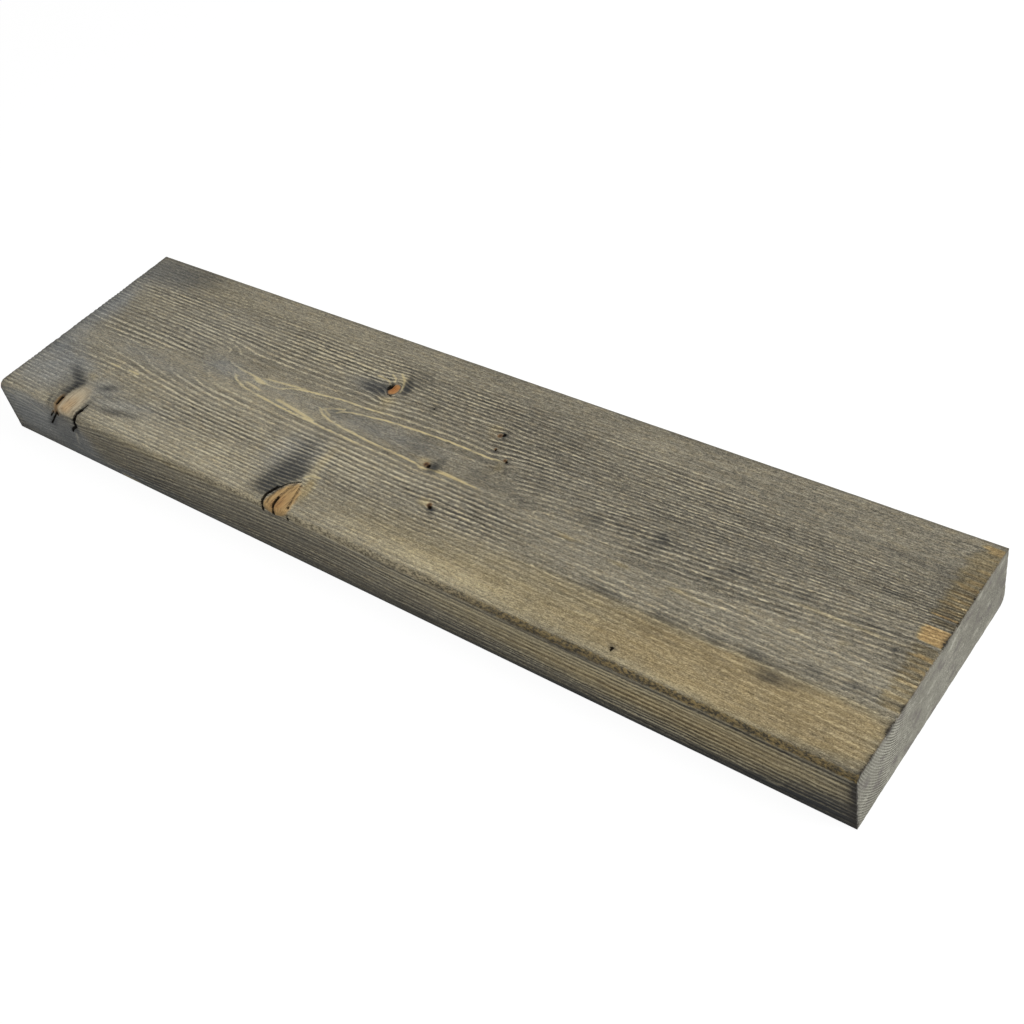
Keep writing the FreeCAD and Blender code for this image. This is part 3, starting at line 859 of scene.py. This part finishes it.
# ---- materials from nodes
class nodePad:  # a short way to write a material
    def __init__(self, name):
        self.material = bpy.data.materials.new(name)
        self.material.use_nodes = True
        self.nodes, self.links = self.material.node_tree.nodes, self.material.node_tree.links
        self.shader = self.nodes["Principled BSDF"]

    def put(self, socket, value):
        if isinstance(value, bpy.types.NodeSocket):
            self.links.new(value, socket)
        else:
            socket.default_value = value

    def add(self, kind, inputs=(), out=0, **settings):
        node = self.nodes.new("ShaderNode" + kind)
        for key, value in settings.items():
            setattr(node, key, value)
        for key, value in dict(inputs).items():
            self.put(node.inputs[key], value)
        return node.outputs[out]

    def inMm(self):  # the place on the object in millimetres
        place = self.vector("SCALE", self.add("TexCoord", out="Object"))
        place.node.inputs["Scale"].default_value = 1 / mm
        return place

    def parts(self, vector):
        return self.add("SeparateXYZ", {0: vector}).node.outputs

    def field(self, name):  # three numbers kept on the mesh
        return self.parts(self.add("Attribute", out="Vector", attribute_name=name))

    def math(self, operation, a, b=0, c=0, clamp=False):
        return self.add("Math", {0: a, 1: b, 2: c}, operation=operation, use_clamp=clamp)

    def times(self, product, *others):
        for other in others:
            product = self.math("MULTIPLY", product, other)
        return product

    def scaled(self, value, factor, base):  # value * factor + base
        return self.math("MULTIPLY_ADD", value, factor, base)

    def sway(self, noise, amount, base):  # the base, lifted and lowered by a noise
        return self.scaled(self.math("SUBTRACT", noise, 0.5), amount, base)

    def vector(self, operation, a, b=(0, 0, 0), out=0):
        return self.add("VectorMath", {0: a, 1: b}, out=out, operation=operation)

    def noise(self, place, scale, detail=2, rough=0.5):
        scaled = self.vector("MULTIPLY", place, scale)
        return self.add("TexNoise", {"Vector": scaled, "Scale": 1, "Detail": detail, "Roughness": rough})

    def ramp(self, value, low, high, first=0, last=1, smooth=True):
        ends = {"Value": value, "From Min": low, "From Max": high, "To Min": first, "To Max": last}
        return self.add("MapRange", ends, interpolation_type="SMOOTHSTEP" if smooth else "LINEAR")

    def mix(self, share, a, b, blend="MIX"):
        return self.add("Mix", {0: share, 6: a, 7: b}, out=2, data_type="RGBA", blend_type=blend)

    def curve(self, value, stops):
        socket = self.add("ValToRGB", {0: value})
        elements = socket.node.color_ramp.elements
        while len(elements) < len(stops):
            elements.new(0.5)
        for element, (place, tone) in zip(elements, stops):
            element.position = place
            element.color = tone if isinstance(tone, tuple) else (tone, tone, tone, 1)
        return socket

    def coat(self, colour, roughness, height, bump):  # the bump's height in metres and its strength
        distance, strength = bump
        normal = self.add("Bump", {"Height": height, "Distance": distance, "Strength": strength})
        for name, value in (("Base Color", colour), ("Roughness", roughness), ("Normal", normal)):
            self.put(self.shader.inputs[name], value)
        return self.material


def tint(red, green, blue):  # a colour as given on screen, 0 to 255
    shares = [((c / 255 + 0.055) / 1.055) ** 2.4 if c > 10 else c / 255 / 12.92 for c in (red, green, blue)]
    return (*shares, 1)


def tones(*stops):  # places from 0 to 1, each with its colour
    return [(place, tint(*colour)) for place, colour in stops]


woodLook = {
    # from the darkest groove to the palest ridge: the long faces, the ends and the washes over them
    "face": tones((0, (42, 41, 35)), (0.25, (83, 79, 69)), (0.5, (124, 118, 102)), (0.75, (160, 152, 130)),
                  (1, (202, 192, 162))),
    "end": tones((0, (62, 60, 52)), (0.3, (112, 109, 98)), (0.5, (142, 140, 128)), (0.75, (168, 166, 153)),
                 (1, (196, 193, 176))),
    # the grey wash's tones, also those of the painted reflection on the front
    "greyAndReflection": tones((0, (70, 74, 78)), (0.5, (120, 124, 126)), (1, (178, 180, 178))),
    "warm": tones((0, (76, 64, 42)), (0.5, (142, 127, 88)), (1, (210, 192, 142))),
    "honey": tones((0, (96, 76, 50)), (0.5, (172, 143, 94)), (1, (218, 190, 138))),
    "speck": tint(52, 48, 40),
    "warmHue": tint(255, 238, 206),
    "coolHue": tint(226, 232, 246),
    "flame": tint(200, 184, 138),
    # the dark of the stain, also the colour of the painted shade on the front
    "stainAndShade": tint(28, 31, 34),
    "ridgeUnderStainAndShade": 0.21,   # how much of a ridge shows through the darkest stain and the painted shade
    "endSmudge": tint(106, 100, 96),
    "endBloom": tint(184, 182, 168),
    "endUpper": (tint(40, 34, 24), tint(120, 104, 76)),
    # the colour of the painted shade along the arrises
    "arrisShade": tint(30, 26, 19),
    "wearRight": tones((0.42, (30, 25, 14)), (0.62, (138, 118, 74))),
    # pale on the left: painted highlight on the rounding, with wear
    "wearAndHighlightLeft": tones((0.40, (70, 64, 50)), (0.60, (188, 176, 146))),
    "wearDust": tint(88, 80, 60),
    "crack": tint(12, 9, 6),
    "rust": tint(112, 82, 40),
    "bump": (0.00035, 0.85),
    # how far each noise sways the tone of the long faces
    "toneSways": {"fibre": 0.55, "stroke": 0.72, "grit": 1.15, "cloud": 0.26, "streak": 0.20},
}
woodNoises = {  # cells per millimetre along x, y and z, then detail and roughness
    "fibre": ((0.055, 1.5, 1.5), 3, 0.6), "stroke": ((0.28, 0.95, 0.95), 2, 0.6),
    "grit": ((1, 1.7, 1.7), 2, 0.7), "dash": ((0.11, 0.55, 0.55), 2, 0.6), "speck": ((1, 2.4, 2.4), 0),
    "cloud": ((0.012, 0.05, 0.05), 3), "streak": ((0.006, 0.16, 0.16), 2), "patchy": ((0.014, 0.10, 0.10), 2),
    "hue": ((0.10, 0.45, 0.45), 2), "wash": ((0.07, 0.3, 0.3), 3, 0.6),
    "endGrit": ((0.3, 0.55, 0.55), 3, 0.65), "endClean": ((0.01, 0.022, 0.04), 1),
    "endSmudge": ((0.05, 0.06, 0.11), 3, 0.6), "crumb": ((0.36, 0.7, 0.7), 3, 0.7),
    "along": ((0.012, 0.02, 0.02), 2), "wobble": ((0.20, 0.20, 0.20), 2), "burr": ((0.85, 0.10, 0.5), 3, 0.65),
}


def noiseNamed(pad, place, name):
    return pad.noise(place, *woodNoises[name])


def yearLines(pad, place, rings, density, calm, stroke):
    # each bright ridge has dark grooves beside it, and lines too close to see fade out
    shake = pad.times(pad.math("SUBTRACT", stroke, 0.5), pad.math("MINIMUM", density, 0.4))
    year = pad.scaled(shake, 1.9, rings)
    fromLine = pad.math("SUBTRACT", pad.math("FRACT", pad.math("ADD", year, 0.5)), 0.5)
    spread = pad.math("MAXIMUM", density, 0.03)
    distance = pad.math("ABSOLUTE", pad.math("DIVIDE", fromLine, spread))
    half = pad.math("MINIMUM", pad.math("DIVIDE", 0.215, spread), 1)
    share = pad.math("DIVIDE", distance, half)
    ridge = pad.ramp(share, 1.25, 0.25)
    groove = pad.times(pad.ramp(share, 1, 1.7), pad.ramp(share, 4.2, 2.3), pad.ramp(density, 0.08, 0.26, 0.4, 1))
    yearTone = pad.add("TexWhiteNoise", {"W": pad.math("ROUND", rings)}, noise_dimensions="1D")
    line = pad.math("SUBTRACT", pad.times(ridge, pad.scaled(yearTone, 0.20, 0.17)), pad.times(groove, 0.22))
    patchy = pad.ramp(noiseNamed(pad, place, "patchy"), 0.3, 0.7, 0.65, 1.25)
    strength = pad.times(calm, pad.ramp(density, 0.85, 0.5), patchy, pad.ramp(stroke, 0.32, 0.68, 0.60, 1.50))
    dash = noiseNamed(pad, place, "dash")
    return pad.times(line, pad.times(strength, pad.ramp(dash, 0.34, 0.66, 0.45, 1.45))), ridge, dash


def flameShare(pad, rings, axes, ridge, dash):  # the two wide rings that make the flame
    isFlame = pad.math("COMPARE", pad.math("ROUND", rings), -0.5, 0.6)
    reach = pad.times(pad.ramp(axes[0], -235, -185), pad.ramp(axes[0], 66, 50), pad.ramp(axes[2], 22, 24.2))
    outer = pad.times(pad.ramp(rings, -0.6, -0.4), pad.ramp(axes[0], -75, -35))
    reach = pad.times(reach, pad.math("SUBTRACT", 1, pad.times(outer, 0.8)), pad.times(isFlame, ridge))
    return pad.times(reach, pad.ramp(dash, 0.30, 0.62, 0.25, 0.95))


def washed(pad, colour, tone, place, ridge, stainAndShade, warm, greyAndReflection):  # grey, warm and dark washes; on the front the grey is a painted reflection and the dark holds painted shade
    look = woodLook
    wash = pad.sway(noiseNamed(pad, place, "wash"), 0.7, 0)
    # the grey wash: weathering on top, painted reflection on the front
    greyAndReflectionShare = pad.ramp(pad.scaled(wash, greyAndReflection, greyAndReflection), 0.05, 1, 0, 0.75)
    colour = pad.mix(greyAndReflectionShare, colour, pad.curve(tone, look["greyAndReflection"]))
    warmTone = pad.mix(pad.ramp(warm, 0.40, 1.05), pad.curve(tone, look["warm"]), pad.curve(tone, look["honey"]))
    colour = pad.mix(pad.ramp(pad.scaled(wash, warm, warm), 0.06, 0.95, 0, 0.92), colour, warmTone)
    # the dark wash: stain, and painted shade along the front's bottom edge
    stainAndShadeHere = pad.scaled(wash, pad.times(stainAndShade, pad.ramp(stainAndShade, 1, 0.3, 0.2, 1)), stainAndShade)
    stainAndShadeTone = pad.mix(pad.times(ridge, look["ridgeUnderStainAndShade"]), look["stainAndShade"], colour)
    return pad.mix(pad.ramp(stainAndShadeHere, 0.02, 1, 0, 0.90, smooth=False), colour, stainAndShadeTone)


def endGrain(pad, place, axes, lift, line, grit, stroke, fibre):
    look = woodLook
    tone = pad.sway(noiseNamed(pad, place, "endGrit"), 0.60, pad.math("ADD", lift, 0.5))
    tone = pad.scaled(line, pad.ramp(noiseNamed(pad, place, "endClean"), 0.36, 0.64, 0.30, 0.95), tone)
    tone = pad.sway(grit, 0.40, tone)
    tone = pad.scaled(pad.ramp(axes[1], -150, -30), -0.07, pad.math("SUBTRACT", tone, 0.02))
    colour = pad.curve(tone, look["end"])
    smudge = noiseNamed(pad, place, "endSmudge")
    colour = pad.mix(pad.ramp(smudge, 0.50, 0.70, 0, 0.80), colour, look["endSmudge"])
    colour = pad.mix(pad.ramp(smudge, 0.45, 0.28, 0, 0.60), colour, look["endBloom"])
    upper = pad.ramp(pad.scaled(stroke, 9, axes[2]), 26.6, 29)
    return pad.mix(pad.times(upper, 0.85), colour, pad.mix(fibre, *look["endUpper"]))


def wornAndLitEdge(pad, colour, place, axes, stroke, wearAndHighlight):  # the worn front edge, paler and dustier on the left; the pale band on the left is a painted highlight on the rounding
    look = woodLook
    crumb, along = [noiseNamed(pad, place, name) for name in ("crumb", "along")]
    here = pad.times(wearAndHighlight, pad.ramp(axes[0], -345, 60, 0.25, 1.05))
    here = pad.sway(stroke, 1.5, pad.scaled(here, 1.15, -0.10))
    share = pad.times(pad.ramp(here, 0.25, 0.75), pad.ramp(wearAndHighlight, 0.05, 0.4))
    left, right = pad.curve(crumb, look["wearAndHighlightLeft"]), pad.curve(crumb, look["wearRight"])
    tone = pad.mix(pad.ramp(along, 0.4, 0.6, 0, 0.24), pad.mix(pad.ramp(axes[0], 20, 170), left, right),
                   look["wearDust"])
    return pad.mix(pad.times(share, 0.85), colour, tone), pad.times(share, crumb)


def knotty(pad, colour, place, notEnd, pinSpan):
    wobble = pad.scaled(noiseNamed(pad, place, "wobble"), 0.20, -0.10)
    burr = noiseNamed(pad, place, "burr")
    for knot, span in zip(knots[:innerKnots + 1], (*pad.field("bigKnots"), pinSpan)):
        heart, tone = knot["heart"], knot["tone"]
        span = pad.math("ADD", wobble, span)
        inside = pad.ramp(span, 1 + knot["soft"] * 0.4, 1 - knot["soft"] * 1.6)
        knotTone = pad.mix(pad.ramp(span, 0.15, 0.75), tint(*heart), tint(*tone))
        knotTone = pad.mix(pad.ramp(burr, 0.48, 0.32, 0, 0.75), knotTone, tint(*(c * 0.55 for c in heart)))
        knotTone = pad.mix(pad.ramp(burr, 0.52, 0.68, 0, 0.6), knotTone, tint(*(min(255, c * 1.2) for c in tone)))
        rim = pad.times(pad.ramp(span, 0.88, 1), pad.ramp(span, 1.22, 1.03))
        colour = pad.mix(pad.times(inside, notEnd), colour, knotTone)
        colour = pad.mix(pad.times(rim, knot["rim"]), colour, woodLook["crack"])
    return colour


def gapped(pad, colour, axes, grit, gapHere):  # the bark gaps and checks, and the rust beside the left knot
    ragged = pad.sway(grit, 1.2, gapHere)
    gap = pad.ramp(ragged, 1.25, 0.75)
    rust = pad.times(pad.ramp(ragged, 3, 1.2), pad.ramp(axes[0], -308, -316))
    rust = pad.times(rust, pad.times(pad.ramp(axes[1], -180, -188), pad.ramp(axes[2], 16, 21)))
    colour = pad.mix(pad.times(rust, 0.8), colour, woodLook["rust"])
    return pad.mix(pad.times(gap, 0.96), colour, woodLook["crack"]), gap


def stainedWoodMaterial():
    look, pad = woodLook, nodePad("stainedSoftwood")
    place = pad.inMm()
    axes = pad.parts(place)
    rings, density, calm = pad.field("grain")
    onEnd, wearAndHighlight, arrisShade = pad.field("edge")
    pinSpan, gapHere, lift = pad.field("smallKnots")
    swaying = {name: noiseNamed(pad, place, name) for name in look["toneSways"]}
    fibre, stroke, grit = [swaying[name] for name in ("fibre", "stroke", "grit")]
    line, ridge, dash = yearLines(pad, place, rings, density, calm, stroke)

    # the tone of the sanded and brushed faces
    tone = 0.50
    for name, amount in look["toneSways"].items():
        tone = pad.sway(swaying[name], amount, tone)
    tone = pad.math("ADD", pad.math("ADD", tone, lift), line)
    colour = pad.curve(tone, look["face"])
    speck = noiseNamed(pad, place, "speck")
    colour = pad.mix(pad.ramp(speck, 0.3, 0.12, 0, 0.55), colour, look["speck"])
    hueNoise = noiseNamed(pad, pad.vector("ADD", place, (330, 90, 40)), "hue")
    for hue, start, end in (("warmHue", 0.45, 0.75), ("coolHue", 0.55, 0.25)):
        share = pad.ramp(hueNoise, start, end, 0, 0.30)
        colour = pad.mix(share, colour, pad.mix(1, colour, look[hue], "MULTIPLY"))
    flame = flameShare(pad, rings, axes, ridge, dash)
    colour = pad.mix(pad.math("MAXIMUM", flame, pad.ramp(arrisShade, -0.15, -0.9, 0, 0.65)), colour, look["flame"])
    colour = washed(pad, colour, tone, place, ridge, *pad.field("cover"))

    colour = pad.mix(onEnd, colour, endGrain(pad, place, axes, lift, line, grit, stroke, fibre))
    # painted shade along the arrises
    arrisShadeShare = pad.math("MULTIPLY", arrisShade, pad.ramp(stroke, 0.34, 0.56, 0.40, 1.45), clamp=True)
    colour = pad.mix(pad.times(arrisShadeShare, 0.95), colour, look["arrisShade"])
    colour, crumbs = wornAndLitEdge(pad, colour, place, axes, stroke, wearAndHighlight)
    colour = knotty(pad, colour, place, pad.math("SUBTRACT", 1, onEnd), pinSpan)
    colour, gap = gapped(pad, colour, axes, grit, gapHere)

    height = pad.scaled(line, 1.1, pad.times(fibre, 0.6))
    for layer, amount in ((grit, 0.35), (crumbs, 1.8), (gap, -3)):
        height = pad.scaled(layer, amount, height)
    pad.put(pad.shader.inputs["Specular IOR Level"], pad.scaled(gap, -0.28, 0.30))
    return pad.coat(colour, pad.ramp(tone, 0.1, 0.9, 0.88, 0.70), height, look["bump"])


# ---- bare wood, in the recesses and bores
bareLook = {
    "tones": tones((0.1, (226, 200, 156)), (0.6, (204, 172, 122)), (1, (164, 120, 72))),
    "years": [(0, 0.3), (0.6, 0.45), (0.85, 1), (0.95, 1), (1, 0.3)],   # how dark through one year
    "yearsPerMm": 0.17,
    "roughness": 0.85,
    "bump": (0.0003, 0.6),
}


def rawWoodMaterial():
    look, pad = bareLook, nodePad("rawSoftwood")
    place = pad.inMm()
    bend = pad.noise(place, (0.009, 0.03, 0.05), 2)
    year = pad.math("FRACT", pad.scaled(pad.parts(place)[2], look["yearsPerMm"], pad.times(bend, 3)))
    fibre = pad.noise(place, (0.07, 1.5, 1.5), 4, 0.7)
    cutter = pad.noise(place, (0.9, 0.02, 0.9), 3, 0.6)   # the marks of the router and the drill
    tone = pad.sway(cutter, 0.5, pad.sway(fibre, 1.1, pad.curve(year, look["years"])))
    return pad.coat(pad.curve(tone, look["tones"]), look["roughness"], fibre, look["bump"])


# ---- the supports: zinc plated steel
zincLook = {
    "bright": tint(206, 209, 212),
    "dull": tint(168, 172, 176),
    "tarnish": tint(150, 146, 132),
    "spangle": 0.35,   # spangles per millimetre
    "scratch": (0.02, 2.2, 2.2),
    "bump": (0.00008, 0.5),
}


def zincMaterial():
    look, pad = zincLook, nodePad("zincSteel")
    place = pad.inMm()
    facet = pad.parts(pad.add("TexVoronoi", {"Vector": place, "Scale": look["spangle"]}, out="Color"))[0]
    cloud = pad.noise(place, (0.06, 0.06, 0.06), 4, 0.6)
    scratch = pad.noise(place, look["scratch"], 5, 0.7)
    colour = pad.mix(pad.times(facet, 0.45), look["bright"], look["dull"])
    colour = pad.mix(pad.ramp(cloud, 0.5, 0.75, 0, 0.35), colour, look["tarnish"])
    pad.put(pad.shader.inputs["Metallic"], 1)
    roughness = pad.ramp(pad.math("ADD", scratch, pad.times(facet, 0.3)), 0.3, 1, 0.26, 0.48)
    return pad.coat(colour, roughness, scratch, look["bump"])


def dressSupports(zinc):
    for name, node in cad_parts.items():
        if name == "board":
            continue
        node.data.materials.clear()
        node.data.materials.append(zinc)
        print("dressed", name)


# ---- studio
studio = {
    "sky": 0.30,
    "floorSize": 12, "floorDrop": 0.0004,
    "floorTone": 0.45, "floorSeen": 0.90, "floorGlow": 1.06,
    "shadowShare": 0.12,   # how much of the real shading the floor shows to the camera
    "lamps": [  # name, place, aim, size, watts
        ("keyLamp", (1.55, 0.35, 1.30), (0.05, -0.10, 0), 1.1, 32),
        ("topLamp", (-0.30, -0.25, 2.30), (0, -0.10, 0), 1.8, 10),
        ("frontLamp", (-0.60, -2.30, 0.90), (0, -0.10, 0), 1.6, 6),
    ],
}


def layFloor(floorZ):
    bpy.ops.mesh.primitive_plane_add(size=studio["floorSize"], location=(0, 0, floorZ - studio["floorDrop"]))
    floor = bpy.context.object
    floor.name = "floor"
    pad = nodePad("paleFloor")
    pad.nodes.remove(pad.shader)
    path = pad.add("LightPath").node.outputs
    direct = pad.math("MAXIMUM", path["Is Camera Ray"], path["Is Glossy Ray"])
    shades = [(studio[name],) * 3 + (1,) for name in ("floorTone", "floorSeen")]
    plain = pad.add("BsdfDiffuse", {"Color": pad.mix(direct, *shades)})
    white = pad.add("Emission", {"Color": (1, 1, 1, 1), "Strength": studio["floorGlow"]})
    blended = pad.add("MixShader", {0: pad.times(direct, 1 - studio["shadowShare"]), 1: plain, 2: white})
    pad.put(pad.nodes["Material Output"].inputs["Surface"], blended)
    floor.data.materials.append(pad.material)


def hangSky():  # grey light all round, and white where the camera looks past the shelf
    world = bpy.data.worlds.new("studioWorld")
    world.use_nodes = True
    bpy.context.scene.world = world
    nodes, links = world.node_tree.nodes, world.node_tree.links
    seen, either, level = [nodes.new("ShaderNode" + kind) for kind in ("LightPath", "Math", "MapRange")]
    either.operation = "MAXIMUM"
    for k, name in enumerate(("Is Camera Ray", "Is Glossy Ray")):
        links.new(seen.outputs[name], either.inputs[k])
    level.inputs["To Min"].default_value = studio["sky"]
    level.inputs["To Max"].default_value = 1
    links.new(either.outputs[0], level.inputs["Value"])
    nodes["Background"].inputs["Color"].default_value = (1, 1, 1, 1)
    links.new(level.outputs[0], nodes["Background"].inputs["Strength"])


def hangLamps():
    for name, at, aim, size, watts in studio["lamps"]:
        lamp = bpy.data.objects.new(name, bpy.data.lights.new(name, "AREA"))
        lamp.data.shape, lamp.data.size, lamp.data.energy = "DISK", size, watts
        lamp.location = at
        lamp.rotation_euler = (Vector(aim) - Vector(at)).to_track_quat("-Z", "Y").to_euler()
        bpy.context.collection.objects.link(lamp)


makeBoard(stainedWoodMaterial(), rawWoodMaterial())
dressSupports(zincMaterial())
layFloor(cadBox[0][2])
hangSky()
hangLamps()
bpy.context.scene.view_settings.view_transform = "Standard"
print("studio lit")
